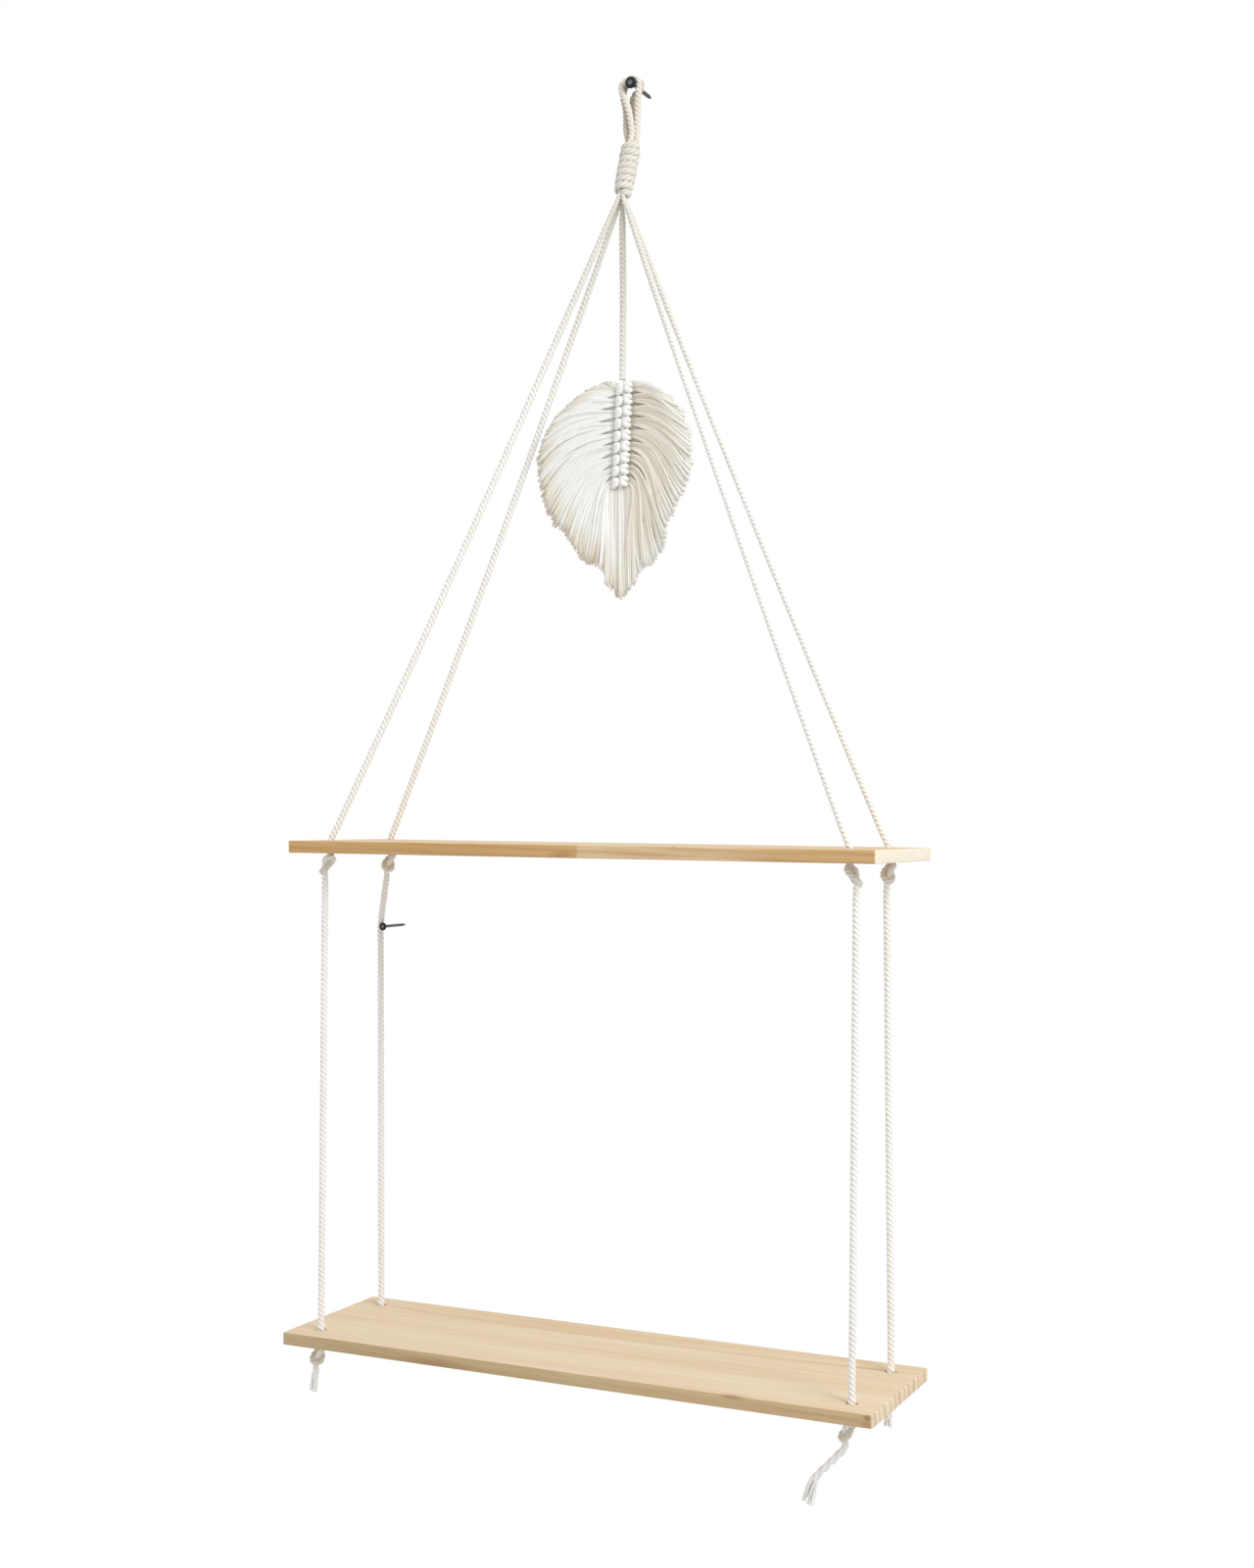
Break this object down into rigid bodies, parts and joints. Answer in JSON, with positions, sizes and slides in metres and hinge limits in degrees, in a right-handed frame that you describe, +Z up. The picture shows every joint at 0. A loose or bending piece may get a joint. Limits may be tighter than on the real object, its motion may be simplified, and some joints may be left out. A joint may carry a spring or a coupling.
{
  "type": "hanging rope shelf",
  "caption": "Two thin wooden boards held level one above the other by knotted twisted cotton ropes, hung from a wall nail by a bound loop, with a knotted cotton feather in the middle.",
  "frame": {"origin": "on the hanging nail's axis where it enters the wall, so the wall is the plane Y = 0", "axes": "+Z up, +X to the right along the boards as seen from the room, +Y from the room into the wall"},
  "size_m": [0.43, 0.1315, 0.9501],
  "materials": {
    "upper_pine": "satin",
    "lower_pine": "satin",
    "rope": "matte",
    "fringe": "matte",
    "black_steel": "satin"
  },
  "bodies": {
    "wall_nails": {"hanging_nail": "black_steel", "steady_nail": "black_steel"},
    "upper_tier": {"hanging_loop": "rope", "rope_binding": "rope", "gathered_core": "rope", "front_left_upper_rope": "rope", "back_left_upper_rope": "rope", "front_right_upper_rope": "rope", "back_right_upper_rope": "rope", "upper_board": "upper_pine", "front_left_upper_knot": "rope", "back_left_upper_knot": "rope", "front_right_upper_knot": "rope", "back_right_upper_knot": "rope"},
    "left_drop_ropes": {"front_left_drop_rope": "rope", "back_left_drop_rope": "rope"},
    "right_drop_ropes": {"front_right_drop_rope": "rope", "back_right_drop_rope": "rope"},
    "lower_tier": {"lower_board": "lower_pine", "front_left_lower_knot": "rope", "back_left_lower_knot": "rope", "front_right_lower_knot": "rope", "back_right_lower_knot": "rope", "front_left_tail": "rope", "back_left_tail": "rope", "front_right_tail": "rope", "back_right_tail": "rope"},
    "hanging_cord": {"feather_cord": "rope"},
    "feather": {"feather_spine": "fringe", "feather_fringe_left": "fringe", "feather_fringe_right": "fringe", "feather_fringe_tip": "fringe"}
  },
  "joints": [
    {"name": "shelf_swing", "type": "hinge", "parent": "wall_nails", "child": "upper_tier", "pos_m": [0, -0.0172, 0], "axis": [0, 1, 0], "range_deg": [0, 15]},
    {"name": "left_drop_sway", "type": "hinge", "parent": "upper_tier", "child": "left_drop_ropes", "pos_m": [-0.1941, -0.059, -0.5601], "axis": [0, 1, 0], "range_deg": [0, 10]},
    {"name": "right_drop_sway", "type": "hinge", "parent": "upper_tier", "child": "right_drop_ropes", "pos_m": [0.1941, -0.059, -0.5601], "axis": [0, 1, 0], "range_deg": [0, 10]},
    {"name": "lower_tier_level", "type": "hinge", "parent": "left_drop_ropes", "child": "lower_tier", "pos_m": [-0.1956, -0.059, -0.8812], "axis": [0, 1, 0], "range_deg": [-10, 0]},
    {"name": "feather_swing", "type": "hinge", "parent": "upper_tier", "child": "hanging_cord", "pos_m": [-0.002, -0.029, -0.0835], "axis": [1, 0, 0], "range_deg": [-12, 2]},
    {"name": "feather_turn", "type": "hinge", "parent": "hanging_cord", "child": "feather", "pos_m": [-0.002, -0.029, -0.211], "axis": [0, 0, 1], "range_deg": [-15, 15]}
  ],
  "couplings": [
    {"joint": "right_drop_sway", "follows": "left_drop_sway", "ratio": 1},
    {"joint": "lower_tier_level", "follows": "left_drop_sway", "ratio": -1}
  ]
}
